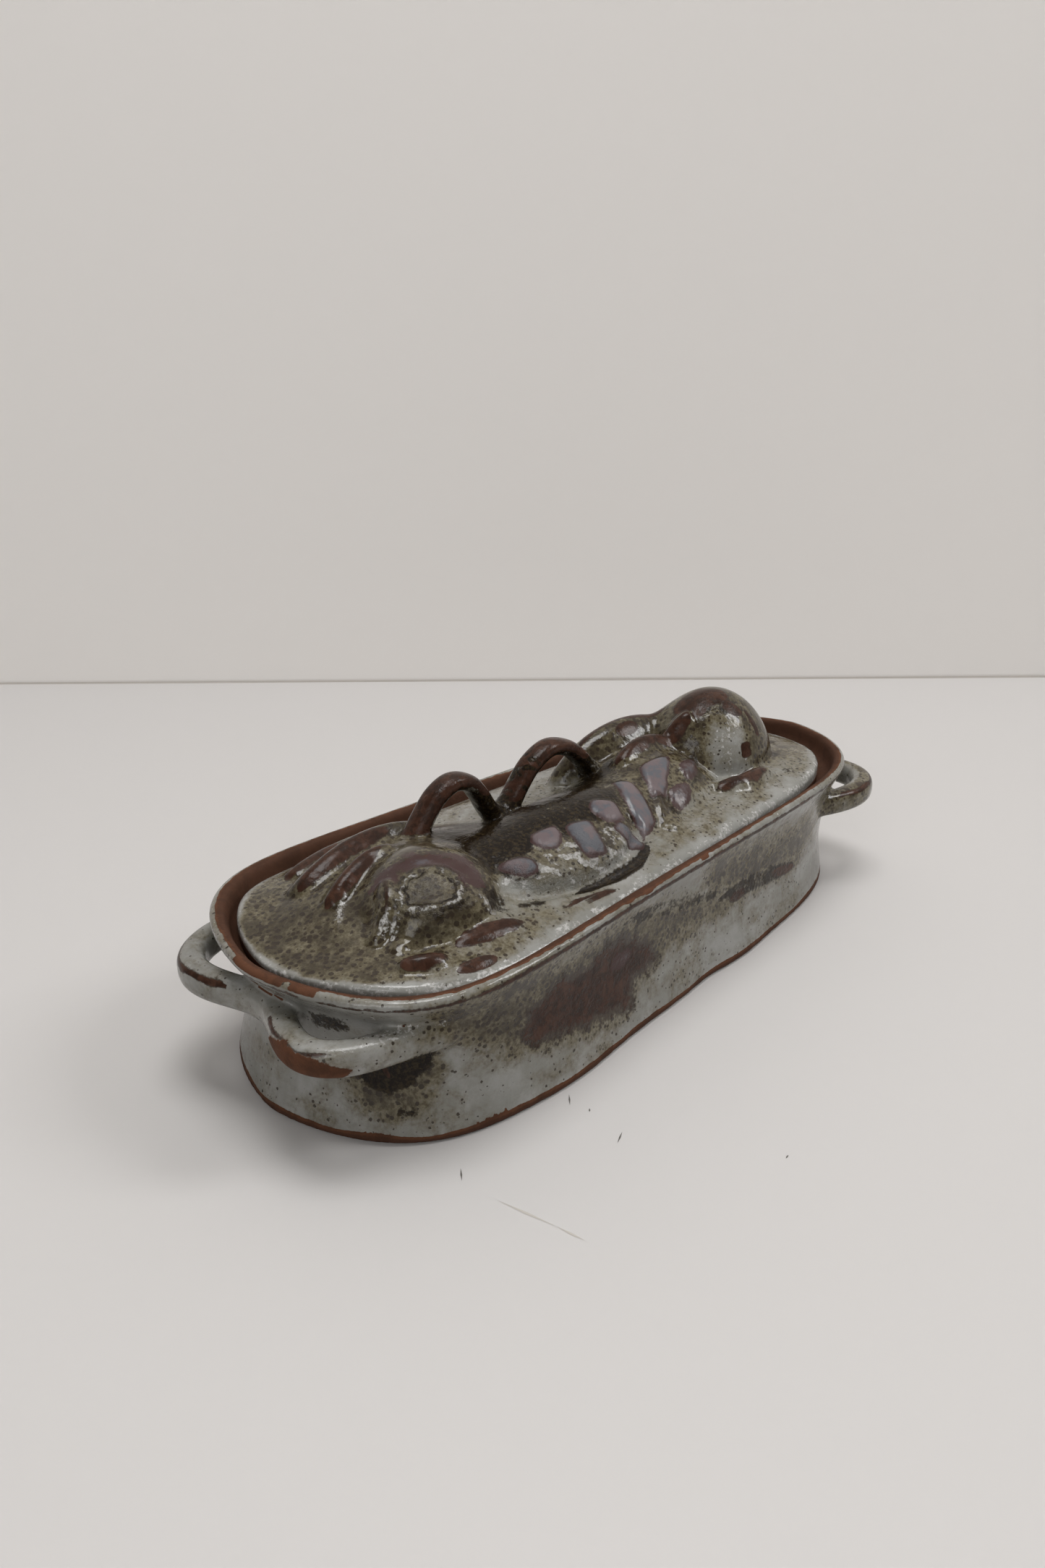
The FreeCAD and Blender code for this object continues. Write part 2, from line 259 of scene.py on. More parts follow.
def bent_strap(path, across, half_thickness, half_width, count=28, squareness=0.66):
    """Points and faces of a strap with rounded edges along a path of centres."""
    path = np.asarray(path)
    tangent = np.gradient(path, axis=0)
    tangent /= np.linalg.norm(tangent, axis=1)[:, None]
    across = np.broadcast_to(np.asarray(across, dtype=float), path.shape)
    normal = np.cross(tangent, across)
    normal /= np.linalg.norm(normal, axis=1)[:, None]
    angle = 2.0 * math.pi * np.arange(count) / count
    c = np.sign(np.cos(angle)) * np.abs(np.cos(angle)) ** squareness
    s = np.sign(np.sin(angle)) * np.abs(np.sin(angle)) ** squareness
    thick = np.broadcast_to(half_thickness, len(path))
    wide = np.broadcast_to(half_width, len(path))
    points = (path[:, None, :] + normal[:, None, :] * (c[None, :, None] * thick[:, None, None])
              + across[:, None, :] * (s[None, :, None] * wide[:, None, None]))
    return np.vstack([points.reshape(-1, 3), path[0], path[-1]]), tube_faces(len(path), count)


def lute(name, parts, voxel, softening, most_triangles=196000):
    """Joins overlapping clay bodies into one skin and softens the joins."""
    points = []
    faces = []
    base = 0
    for part_points, part_faces in parts:
        points.append(np.asarray(part_points))
        faces += [tuple(base + i for i in face) for face in part_faces]
        base += len(part_points)
    mesh = clay_mesh(name, np.vstack(points), faces)
    piece = bpy.data.objects.new(name, mesh)
    scene.collection.objects.link(piece)
    bpy.context.view_layer.objects.active = piece
    piece.select_set(True)
    bpy.ops.object.mode_set(mode="EDIT")
    bpy.ops.mesh.select_all(action="SELECT")
    bpy.ops.mesh.normals_make_consistent(inside=False)
    bpy.ops.object.mode_set(mode="OBJECT")
    knead = piece.modifiers.new("knead", "REMESH")
    knead.mode = "VOXEL"
    knead.voxel_size = voxel / 1000.0
    wipe = piece.modifiers.new("wipe", "SMOOTH")
    wipe.factor = 0.5
    wipe.iterations = softening
    settle(piece)
    triangles = sum(len(polygon.vertices) - 2 for polygon in piece.data.polygons)
    if triangles > most_triangles:
        pare = piece.modifiers.new("pare", "DECIMATE")
        pare.ratio = most_triangles / triangles
        settle(piece)
    piece.data.shade_smooth()
    return piece


def settle(piece):
    """Turns the piece and its modifiers into a plain mesh."""
    evaluated = piece.evaluated_get(bpy.context.evaluated_depsgraph_get())
    done = bpy.data.meshes.new_from_object(evaluated)
    piece.modifiers.clear()
    old = piece.data
    piece.data = done
    bpy.data.meshes.remove(old)


def clay_points(piece):
    """The piece's vertices and normals, in millimetres."""
    count = len(piece.data.vertices)
    places = np.empty(count * 3)
    piece.data.vertices.foreach_get("co", places)
    normals = np.empty(count * 3)
    piece.data.vertices.foreach_get("normal", normals)
    return places.reshape(-1, 3) * 1000.0, normals.reshape(-1, 3)


def neighbours_mean(piece, values, rounds):
    """Values averaged over neighbouring vertices, a number of times."""
    count = len(piece.data.vertices)
    edges = np.empty(len(piece.data.edges) * 2, dtype=np.int64)
    piece.data.edges.foreach_get("vertices", edges)
    a = edges[0::2]
    b = edges[1::2]
    degree = np.bincount(a, minlength=count) + np.bincount(b, minlength=count)
    for _ in range(rounds):
        total = np.bincount(a, weights=values[b], minlength=count)
        total += np.bincount(b, weights=values[a], minlength=count)
        values = 0.5 * values + 0.5 * total / np.maximum(1, degree)
    return values


def sharpness(piece, rounds):
    """How much the skin stands out (positive) or is hollow (negative) at each vertex."""
    places, normals = clay_points(piece)
    calm = np.stack([neighbours_mean(piece, places[:, i], rounds) for i in range(3)], axis=1)
    return neighbours_mean(piece, np.sum((places - calm) * normals, axis=1), 2)


def paint(piece, name, values):
    """Stores a finish mask on the vertices."""
    layer = piece.data.attributes.new(name, "FLOAT", "POINT")
    layer.data.foreach_set("value", np.clip(values, 0.0, 1.0).astype(np.float32))


def ramp(values, low, high):
    """0 up to the low value, 1 from the high one, and a soft rise between."""
    t = np.clip((values - low) / (high - low), 0.0, 1.0)
    return t * t * (3.0 - 2.0 * t)


def hump(values, middle, width):
    """A bell curve, 1 in the middle and fading over the width."""
    return np.exp(-((values - middle) / width) ** 2)


def along_across(x, y, at_x, at_y, degrees):
    """Places measured from a point, along a turned direction and across it."""
    c = math.cos(math.radians(degrees))
    s = math.sin(math.radians(degrees))
    return (x - at_x) * c + (y - at_y) * s, (y - at_y) * c - (x - at_x) * s


def patch(u, v, at_u, at_v, half_u, half_v, degrees=0.0, edge=0.35):
    """A soft-edged oval mask, 1 inside and 0 outside."""
    p, q = along_across(u, v, at_u, at_v, degrees)
    p = p / half_u
    q = q / half_v
    return 1.0 - ramp(np.sqrt(p * p + q * q), 1.0 - edge, 1.0 + edge)


def outline_depth(u, v, corners):
    """Signed distance to a closed outline, positive inside."""
    nearest = np.full(u.shape, 1e9)
    inside = np.zeros(u.shape, dtype=bool)
    for (ax, ay), (bx, by) in zip(corners, corners[1:] + corners[:1]):
        size_squared = (bx - ax) ** 2 + (by - ay) ** 2
        t = np.clip(((u - ax) * (bx - ax) + (v - ay) * (by - ay)) / size_squared, 0.0, 1.0)
        nearest = np.minimum(nearest, np.hypot(u - ax - t * (bx - ax), v - ay - t * (by - ay)))
        if ay != by:
            inside ^= ((v < ay) != (v < by)) & (u < ax + (v - ay) * (bx - ax) / (by - ay))
    return np.where(inside, nearest, -nearest)


def stain(u, v, corners, softness):
    """A mask that is 0.5 on the outline and fades over the given width."""
    return np.clip(0.5 + outline_depth(u, v, corners) / softness, 0.0, 1.0)


def to_line(x, y, line):
    """Distance to a bent line, and how far along it the nearest point is, from 0 to 1."""
    best = np.full_like(x, 1e9)
    where = np.zeros_like(x)
    lengths = [math.dist(a, b) for a, b in zip(line, line[1:])]
    run = 0.0
    for (ax, ay), (bx, by), length in zip(line, line[1:], lengths):
        t = np.clip(((x - ax) * (bx - ax) + (y - ay) * (by - ay)) / length ** 2, 0.0, 1.0)
        d = np.hypot(x - ax - t * (bx - ax), y - ay - t * (by - ay))
        near = d < best
        where = np.where(near, (run + t * length) / sum(lengths), where)
        best = np.where(near, d, best)
        run += length
    return best, where


def stroke(x, y, line, half_width, softness=0.5):
    """A mask along a line, thinning out at both ends."""
    distance, along = to_line(x, y, line)
    thin = np.clip(4.0 * along * (1.0 - along), 0.0, 1.0) ** 0.4
    outer = np.maximum(0.05, thin * (1.0 + softness))
    return 1.0 - ramp(distance / half_width, thin * (1.0 - softness), outer)


# Glaze
# A glossy pale grey ash glaze over brown clay, dipped and fired once. It breaks to iron brown on
# edges, goes olive with brown specks where iron runs in it, and lies lavender over raised pads.
def glaze_material(name):
    material = bpy.data.materials.new(name)
    material.use_nodes = True
    tree = material.node_tree
    nodes = tree.nodes
    shader = nodes["Principled BSDF"]
    place = nodes.new("ShaderNodeTexCoord").outputs["Object"]

    def link(value, socket):
        if isinstance(value, (int, float)):
            socket.default_value = value
        elif isinstance(value, tuple):
            socket.default_value = (*value, 1.0)
        else:
            tree.links.new(value, socket)

    def sums(kind, a, b=0.0, c=0.0):
        node = nodes.new("ShaderNodeMath")
        node.operation = kind
        link(a, node.inputs[0])
        link(b, node.inputs[1])
        if kind == "MULTIPLY_ADD":
            link(c, node.inputs[2])
        return node.outputs[0]

    def grain(size_mm, detail=3.0, rough=0.55, warp=0.0, stretch=None):
        node = nodes.new("ShaderNodeTexNoise")
        if stretch:
            drawn = nodes.new("ShaderNodeMapping")
            drawn.inputs["Scale"].default_value = stretch
            drawn.inputs["Rotation"].default_value = (0.0, 0.22, 0.0)
            tree.links.new(place, drawn.inputs["Vector"])
            tree.links.new(drawn.outputs["Vector"], node.inputs["Vector"])
        else:
            tree.links.new(place, node.inputs["Vector"])
        node.inputs["Scale"].default_value = 1000.0 / size_mm
        node.inputs["Detail"].default_value = detail
        node.inputs["Roughness"].default_value = rough
        node.inputs["Distortion"].default_value = warp
        return node.outputs["Fac"]

    def step(value, low, high):
        node = nodes.new("ShaderNodeMapRange")
        node.interpolation_type = "SMOOTHSTEP"
        link(value, node.inputs["Value"])
        node.inputs["From Min"].default_value = low
        node.inputs["From Max"].default_value = high
        return node.outputs["Result"]

    def between(kind, amount, a, b):
        node = nodes.new("ShaderNodeMix")
        node.data_type = kind
        link(amount, node.inputs["Factor"])
        link(a, node.inputs["A"])
        link(b, node.inputs["B"])
        return node.outputs["Result"]

    def mix(amount, a, b):
        return between("RGBA", amount, a, b)

    def blend(amount, a, b):
        return between("FLOAT", amount, a, b)

    fine = grain(2.0, 4.0, 0.65)
    cells = nodes.new("ShaderNodeTexVoronoi")
    tree.links.new(place, cells.inputs["Vector"])
    cells.inputs["Scale"].default_value = 1000.0 / 3.0
    specks = sums("MULTIPLY_ADD", fine, 0.9, sums("SUBTRACT", cells.outputs["Distance"], 0.45))
    blots = grain(4.6, 3.0, 0.6, 0.2)
    drift = grain(10.0, 5.0, 0.66, 0.3)
    clouds = grain(30.0, 4.0, 0.6, 0.4)
    streaks = grain(10.0, 4.0, 0.6, 0.2, (0.22, 0.22, 1.0))

    def region(attribute, wander, ragged, strength=1.0):
        """A painted mask whose edge is broken up by slow and fine unevenness."""
        node = nodes.new("ShaderNodeAttribute")
        node.attribute_name = attribute
        value = sums("MULTIPLY_ADD", drift, wander, -0.5 * (wander + ragged))
        value = sums("ADD", value, sums("MULTIPLY", fine, ragged))
        return sums("MULTIPLY_ADD", node.outputs["Fac"], strength, value)

    pale = mix(step(clouds, 0.36, 0.64), (0.192, 0.189, 0.170), (0.258, 0.256, 0.240))
    pale = mix(sums("MULTIPLY", step(fine, 0.52, 0.74), 0.30), pale, (0.330, 0.327, 0.314))
    pale = mix(sums("MULTIPLY", step(streaks, 0.50, 0.70), 0.35), pale, (0.165, 0.150, 0.125))
    tan = mix(step(fine, 0.36, 0.68), (0.135, 0.116, 0.073), (0.068, 0.053, 0.028))
    # Olive is olive glaze; on the dish's right-end strap it is also painted shade for the hollow of its loop.
    olive = region("olive", 1.45, 0.40)
    olive = sums("ADD", olive, sums("MULTIPLY_ADD", streaks, 0.5, -0.25))
    colour = mix(step(olive, 0.05, 0.85), pale, tan)
    colour = mix(sums("MULTIPLY", step(olive, 0.70, 1.20), 0.85), colour, (0.028, 0.020, 0.010))
    dots = sums("MULTIPLY", sums("MINIMUM", sums("MAXIMUM", olive, 0.0), 1.0), 0.40)
    dots = sums("ADD", sums("SUBTRACT", dots, specks), sums("MULTIPLY_ADD", blots, 0.6, -0.3))
    colour = mix(sums("MULTIPLY", step(dots, -0.055, 0.035), 0.90), colour, (0.022, 0.014, 0.008))

    # Milk is pale glaze; on the lid it also carries painted glints on the belly flap and the haunch's ring.
    milk = region("milk", 1.0, 1.1)
    milk_here = step(milk, 0.40, 0.66)
    white = mix(step(fine, 0.4, 0.6), (0.225, 0.218, 0.197), (0.430, 0.422, 0.405))
    colour = mix(sums("MULTIPLY", milk_here, 0.9), colour, white)
    # Deep is dark glaze; on the lid it also carries a painted shadow under the belly flap.
    deep = region("deep", 1.3, 0.8)
    deep_here = step(deep, 0.34, 0.60)
    dark = mix(step(fine, 0.45, 0.65), (0.008, 0.005, 0.003), (0.030, 0.021, 0.010))
    colour = mix(deep_here, colour, dark)
    iron = region("iron", 0.62, 0.40)
    iron_here = step(iron, 0.46, 0.60)
    colour = mix(sums("MULTIPLY", step(iron, 0.28, 0.46), 0.85), colour, (0.026, 0.015, 0.009))
    rust = mix(step(drift, 0.38, 0.66), (0.027, 0.011, 0.006), (0.057, 0.026, 0.016))
    rust = mix(sums("MULTIPLY", step(blots, 0.50, 0.62), 0.6), rust, (0.016, 0.009, 0.006))
    colour = mix(iron_here, colour, rust)
    violet = region("violet", 0.5, 0.35)
    violet_here = step(violet, 0.24, 0.34)
    lavender = mix(step(drift, 0.44, 0.58), (0.122, 0.095, 0.098), (0.088, 0.090, 0.101))
    colour = mix(violet_here, colour, (0.044, 0.022, 0.020))
    colour = mix(step(violet, 0.42, 0.80), colour, lavender)
    bare = region("bare", 0.30, 0.30)
    bare_here = step(bare, 0.36, 0.42)
    clay = mix(step(bare, 0.76, 0.96), (0.096, 0.041, 0.022), (0.064, 0.029, 0.017))
    clay = mix(sums("MULTIPLY", step(drift, 0.44, 0.64), 0.55), clay, (0.042, 0.020, 0.012))
    colour = mix(bare_here, colour, clay)
    tree.links.new(colour, shader.inputs["Base Color"])

    gloss = blend(step(fine, 0.3, 0.7), 0.10, 0.17)
    gloss = blend(iron_here, gloss, 0.22)
    gloss = blend(violet_here, gloss, 0.23)
    gloss = blend(bare_here, gloss, 0.72)
    tree.links.new(gloss, shader.inputs["Roughness"])
    shine = blend(deep_here, blend(iron_here, 0.34, 0.17), 0.15)
    tree.links.new(blend(bare_here, shine, 0.10), shader.inputs["Specular IOR Level"])

    rough_patch = nodes.new("ShaderNodeAttribute")
    rough_patch.attribute_name = "crumbs"
    swell = grain(15.0, 2.0, 0.5)
    dimple = sums("MULTIPLY", grain(3.4, 3.0, 0.6), blend(deep_here, 0.34, 0.70))
    crumb = sums("MULTIPLY", rough_patch.outputs["Fac"], sums("MULTIPLY", grain(2.6, 4.0, 0.75), 3.6))
    grit = sums("MULTIPLY", bare_here, sums("MULTIPLY", grain(0.9, 4.0, 0.7), 0.35))
    height = sums("ADD", sums("ADD", swell, dimple), sums("ADD", crumb, grit))
    bump = nodes.new("ShaderNodeBump")
    bump.inputs["Strength"].default_value = 0.6
    bump.inputs["Distance"].default_value = 0.001
    tree.links.new(height, bump.inputs["Height"])
    tree.links.new(bump.outputs["Normal"], shader.inputs["Normal"])
    shader.inputs["IOR"].default_value = 1.5
    return material


# Dish
# A long tub with a flat foot, a slightly waisted wall and a flared rim. Inside the lip a bare
# gallery steps down to the ledge that carries the lid.
rim_half_length = 210.0
rim_half_width = 78.0
rim_fullness = 7.8
rim_corner = 1.46
foot_fullness = 6.2
foot_corner = 1.53
ledge_height = 65.0
floor_height = 9.0
waist_ends = 13.0
waist_sides = 5.0

# Rows of height, inset at the ends, inset at the sides, and how far the plan has gone from the
# foot's (0) to the rim's (1).
outer_wall = [
    (0.0, 9.5, 4.7, 0.0), (0.7, 7.2, 2.5, 0.0), (2.2, 6.2, 1.6, 0.0), (6.0, 7.2, 2.2, 0.1),
    (16.0, 10.0, 3.6, 0.25), (30.0, 13.0, 5.0, 0.4), (44.0, 13.2, 5.1, 0.65), (59.0, 10.7, 4.0, 0.85),
    (66.0, 6.3, 2.4, 0.95), (71.0, 1.8, 0.8, 1.0), (74.0, 0.0, 0.0, 1.0), (76.0, 0.7, 0.7, 1.0),
    (77.0, 2.6, 2.6, 1.0),
]
gallery = [
    (76.9, 4.4, 4.3, 1.0), (75.8, 6.1, 6.0, 1.0), (73.0, 7.0, 6.9, 1.0), (68.5, 8.2, 7.8, 1.0),
    (65.7, 10.2, 9.2, 1.0), (65.0, 13.5, 11.0, 1.0), (65.0, 22.5, 13.4, 1.0), (64.0, 24.4, 14.8, 1.0),
]
cavity = [
    (61.0, 24.8, 15.0, 1.0), (52.0, 22.2, 13.9, 0.8), (30.0, 21.5, 13.5, 0.4), (18.0, 22.5, 14.3, 0.4),
    (11.5, 28.0, 19.0, 0.3), (9.1, 35.5, 25.5, 0.3),
]
around = 620
outer_levels = smooth_steps(outer_wall, 5)
levels = np.vstack([outer_levels, smooth_steps(gallery, 4), smooth_steps(cavity, 4)])
rings = []
for number, (height, ends, sides, level) in enumerate(levels):
    x, y, angle = plan_ring(around, rim_half_length - ends, rim_half_width - sides,
                            foot_fullness + 1.6 * level, foot_corner - 0.07 * level)
    push = 0.7 * (np.sin(3.0 * angle + height / 23.0) + 0.6 * np.sin(5.0 * angle + 1.3))
    # The long front wall was knocked in and out a little at its foot before it dried.
    knock = 2.6 * hump(x, -90.0, 30.0) - 1.4 * hump(x, 18.0, 17.0) + 1.5 * hump(x, 55.0, 22.0)
    knock = knock * (y < 0.0) * (number < len(outer_levels))
    y = y - knock * max(0.0, 1.0 - height / 46.0) ** 1.5
    x = x + push * np.cos(angle)
    y = y + push * np.sin(angle)
    rings.append(np.stack([x, y, np.full(around, height)], axis=1))
tub_points = np.vstack(rings + [(0.0, 0.0, 0.0), (0.0, 0.0, floor_height)])
tub_faces = tube_faces(len(rings), around)


# End straps
# Each end has one strap of clay, luted on at both sides and at the tip, so that it makes two
# finger loops. It runs level, a little under the rim.
strap_half_span = 88.0
strap_level = 54.0
strap_half_thickness = 6.4
strap_half_height = 7.2


def end_strap(sign, reach):
    half_length = rim_half_length - waist_ends * 0.9
    half_width = rim_half_width - waist_sides * 0.9
    samples = 1441
    angle = np.linspace(-math.pi / 2.0, math.pi / 2.0, samples) + (0.0 if sign > 0 else math.pi)
    along = np.cos(angle)
    side = np.where(np.sin(angle) >= 0.0, 1.0, -1.0)
    line_y = side * egg_width(along, half_width, rim_fullness, rim_corner)
    line = np.stack([along * half_length, line_y], axis=1)
    length = np.concatenate([[0.0], np.cumsum(np.hypot(*np.diff(line, axis=0).T))])
    length -= length[samples // 2]
    u = np.linspace(-1.0, 1.0, 121)

    def on_line(shift):
        at = u * strap_half_span + shift
        return np.interp(at, length, line[:, 0]), np.interp(at, length, line[:, 1])

    px, py = on_line(0.0)
    (ahead_x, ahead_y), (behind_x, behind_y) = on_line(2.5), on_line(-2.5)
    tx, ty = ahead_x - behind_x, ahead_y - behind_y
    size = np.hypot(tx, ty)
    lobe = np.where((u > 0.0) & (sign < 0), np.minimum(1.0, 1.16 * np.abs(u)), np.abs(u))
    out = 1.5 - 6.0 * np.abs(u) ** 6 + reach * np.sin(math.pi * lobe) ** 2
    path = np.stack([px + ty / size * out, py - tx / size * out, np.full(len(u), strap_level)], axis=1)
    thick = strap_half_thickness * (1.0 - 0.25 * np.abs(u) ** 8) * (1.0 + 0.06 * np.sin(9.0 * u + sign))
    wide = strap_half_height * (1.0 - 0.15 * np.abs(u) ** 8)
    return bent_strap(path, (0.0, 0.0, 1.0), thick, wide, 32, 0.7)


dish = lute("dish_body", [(tub_points, tub_faces), end_strap(-1, 19.0), end_strap(1, 22.0)], 1.25, 4)


def shift_to_middle(piece):
    places, _ = clay_points(piece)
    piece.data.vertices.foreach_set("co", ((places + middle_shift) / 1000.0).ravel())
    piece.data.update()


# Stains of the dish: their outlines are given by the way round the wall, from the near tip
# along the front in millimetres, and by height.
red_stain = [(136, 37), (140, 50), (156, 55), (183, 55), (206, 56), (226, 47), (233, 33), (215, 29), (211, 17),
             (190, 21), (167, 27), (145, 31)]
olive_stain = [(84, 76), (131, 77), (166, 70), (200, 70), (240, 62), (285, 50), (318, 42), (312, 29), (270, 30),
               (238, 29), (218, 20), (205, 12), (186, 15), (160, 21), (128, 29), (110, 40), (94, 49), (82, 58)]
far_stain = [(276, 77), (310, 73), (352, 64), (404, 57), (408, 46), (392, 36), (372, 27), (345, 28), (318, 34),
             (296, 38), (270, 54)]
strap_stain = [(40, 38), (39, 26), (45, 19), (56, 13), (68, 11), (80, 14), (90, 23), (94, 36), (92, 47), (78, 50),
               (60, 44)]
dark_stain = [(46, 35), (54, 43), (68, 47), (90, 47), (87, 37), (77, 28), (65, 24), (52, 28)]
back_stain = [(560, 74), (640, 70), (700, 62), (760, 52), (790, 40), (750, 28), (690, 24), (650, 34), (600, 40)]
loop_stain = [(12, 46), (19, 55), (30, 60), (46, 58), (58, 52), (50, 42), (30, 40)]


def along_wall(x, y):
    """How far round the rim's outline a point lies, and how far outside it (negative inside)."""
    wall_x, wall_y, _ = plan_ring(2400, rim_half_length, rim_half_width, rim_fullness, rim_corner)
    bearing = np.arctan2(wall_y, wall_x)
    order = np.argsort(bearing)
    wall_x, wall_y, bearing = wall_x[order], wall_y[order], bearing[order]
    length = np.concatenate([[0.0], np.cumsum(np.hypot(np.diff(wall_x), np.diff(wall_y)))])
    tree = KDTree(len(wall_x))
    for i in range(len(wall_x)):
        tree.insert((wall_x[i], wall_y[i], 0.0), i)
    tree.balance()
    nearest = [tree.find((px, py, 0.0))[1:] for px, py in zip(x.tolist(), y.tolist())]
    index = np.array([found[0] for found in nearest])
    distance = np.array([found[1] for found in nearest])
    beyond = np.hypot(x, y) > np.interp(np.arctan2(y, x), bearing, np.hypot(wall_x, wall_y))
    return length[index], np.where(beyond, distance, -distance), length[-1]


def dish_masks(piece):
    """Where each finish lies on the dish."""
    places, normals = clay_points(piece)
    x, y, z = places.T
    way, reach, whole = along_wall(x, y)
    signed_way = np.where(way > 0.5 * whole, way - whole, way)
    uneven = soft_noise(x, y, z, 46.0, 3)
    bumpy = soft_noise(x, y, z, 17.0, 4)
    small = soft_noise(x, y, z, 7.0, 5)
    outside = normals[:, 0] * x / rim_half_length + normals[:, 1] * y / rim_half_width > -0.15
    outer = (outside & (reach > -22.0) & (z < 75.2)).astype(float)
    strap = ((reach > -8.0) & (z > 45.0) & (z < 63.0) & (np.abs(x) > 140.0)).astype(float)

    foot = 1.0 - ramp(z + 0.7 * uneven + 0.3 * bumpy, 2.9, 6.6)
    lip = ramp(z, 74.6, 75.4) * (normals[:, 2] > 0.2)
    bare_lip = ramp(signed_way, -14.0, -8.0) * (1.0 - ramp(signed_way + 4.0 * bumpy, 30.0, 44.0))
    bare_lip = bare_lip * (1.0 - 0.8 * hump(signed_way, 24.0, 2.5))
    chips = 0.9 * hump(signed_way, 221.0, 5.0) + 0.9 * hump(signed_way, 268.0, 5.0)
    bare_lip = np.maximum(bare_lip, chips)
    in_front = ramp(signed_way, 40.0, 80.0) * (1.0 - ramp(signed_way, 440.0, 500.0))
    inner_line = ramp(reach + 0.4 * small - 1.1 * in_front, -4.4, -2.2)
    bare_lip = lip * np.maximum(0.72 * bare_lip, 0.96 * (1.0 - inner_line))
    gallery_bare = ((z > 62.0) & (z < 76.4) & (reach < -5.2) & (~outside | (normals[:, 2] > 0.35))).astype(float)
    loop_patch = strap * stain(signed_way, z, loop_stain, 8.0) * outer
    bare = np.maximum.reduce([foot, gallery_bare, bare_lip, 0.78 * loop_patch * (reach > -2.0)])
    paint(piece, "bare", bare)

    olive = np.maximum.reduce([
        1.05 * stain(way, z, olive_stain, 24.0), stain(way, z, far_stain, 24.0),
        1.15 * stain(way, z, strap_stain, 20.0), 0.85 * stain(way, z, back_stain, 28.0),
        0.55 * ramp(signed_way, 330.0, 420.0) * ramp(z, 10.0, 50.0),
        # The right-end strap is more olive: partly its own dark mottling, partly painted shade for the dark hollow
        # inside its loop.
        (0.3 + 0.5 * (x > 0.0)) * strap, 0.28 + 0.25 * uneven - 0.004 * z])
    paint(piece, "olive", olive * outer + 0.35 * (1.0 - outer))
    deep = np.maximum.reduce([
        1.1 * stain(way, z, dark_stain, 8.0), 0.72 * stain(way, z, red_stain, 44.0),
        0.55 * patch(way, z, 74.0, 16.0, 7.0, 3.0, 0.0, 0.8),
        0.6 * patch(way, z, 36.0, 56.0, 14.0, 6.0, 0.0, 0.7) * (1.0 - strap),
        0.6 * stroke(way, z, [(290.0, 42.0), (330.0, 38.0), (372.0, 31.0)], 6.0),
        0.5 * stroke(way, z, [(205.0, 66.0), (240.0, 58.0), (290.0, 46.0)], 5.0)])
    paint(piece, "deep", deep * outer)
    line_width = 0.3 + 0.6 * ramp(signed_way, 60.0, 130.0) * (1.0 - ramp(signed_way, 330.0, 420.0))
    under_rim = np.clip(0.53 + 0.40 * (line_width - np.abs(z - 73.4 + 0.3 * small)), 0.0, 1.0) * (reach > -2.6)
    under_rim = under_rim * (way < 506.0)
    under_rim = under_rim * ramp(uneven + 0.6 * bumpy, -1.8, -0.8)
    outward = (normals[:, 0] * np.sign(x) * (np.abs(x) > 175.0)
               + normals[:, 1] * np.sign(y) * (np.abs(y) > 30.0)) > 0.1
    slope = normals[:, 2] - 0.62 + 0.12 * bumpy
    strap_line = strap * outward * hump(slope, 0.0, 0.24) * (reach > 1.0)
    strap_line = strap_line * (1.0 - ramp(signed_way, 44.0, 56.0) * (x < 0.0)) * (1.0 - 0.8 * loop_patch)
    iron = np.maximum.reduce([
        0.92 * stain(way, z, red_stain, 22.0), 0.6 * patch(way, z, 309.0, 37.0, 9.0, 4.0),
        0.8 * stroke(way, z, [(60.5, 40.0), (63.5, 36.0), (66.0, 31.5)], 1.6),
        0.75 * stroke(way, z, [(345.0, 35.5), (358.0, 32.5), (372.0, 30.0)], 3.2),
        under_rim, 0.95 * strap_line])
    paint(piece, "iron", iron * outer)
    paint(piece, "violet", 0.62 * patch(way, z, 205.0, 45.0, 8.0, 5.0, 0.0, 0.8) * outer)
    band = lip * (1.0 - bare_lip) * 0.30
    loop_crest = strap * ramp(z, 57.5, 60.0) * ramp(signed_way, 46.0, 58.0) * (1.0 - ramp(signed_way, 92.0, 104.0))
    paint(piece, "milk", np.maximum.reduce([band, 0.40 * loop_crest, 0.35 * ramp(uneven, 0.4, 1.2) * outer]))
    paint(piece, "crumbs", 0.08 * loop_crest)


dish_masks(dish)
shift_to_middle(dish)
dish.data.materials.append(glaze_material("ash glaze on the dish"))
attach(dish, "root")
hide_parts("dish")


# Lid
# A flat slab cut to the gallery, domed a little, with a resting hare modelled on it: haunch,
# rump, long body, head with laid-back ears, paws, a fanned tail and pads pressed along the flank.
lid_left = -198.4
lid_right = 189.9
lid_half_breadth = 67.6
lid_edge_height = 72.5
lid_dome = 8.0
dome_half_width = 69.2


def mound(x, y, at_x, at_y, half_length, half_width, degrees, height, fullness):
    """Height of an oval swelling; the lower its fullness, the steeper its edge."""
    u, v = along_across(x, y, at_x, at_y, degrees)
    u = u / half_length
    v = v / half_width
    return height * np.maximum(0.0, 1.0 - u * u - v * v) ** fullness


def lid_plate(x, y):
    u = (2.0 * x - lid_left - lid_right) / (lid_right - lid_left)
    v = y / dome_half_width
    return lid_edge_height + lid_dome * np.maximum(0.0, 1.0 - u ** 6) * np.maximum(0.0, 1.0 - v ** 4)


# Each mass is a swelling: place, half length, half width, turn, height, and how full it stands.
hare_masses = [
    (-108.0, 4.0, 76.0, 52.0, 0.0, 15.0, 1.4),
    (-122.0, -16.0, 37.0, 34.0, 20.0, 23.0, 0.8),
    (-22.0, -12.0, 95.0, 33.0, 0.0, 17.0, 1.0),
    (-46.0, -21.0, 50.0, 32.0, 0.0, 13.0, 0.32),
    (52.0, -2.0, 50.0, 38.0, 8.0, 19.0, 1.1),
    (115.0, 1.0, 43.0, 34.0, -4.0, 41.0, 0.62),
    (70.0, 28.0, 56.0, 17.0, -8.0, 28.0, 0.75),
]
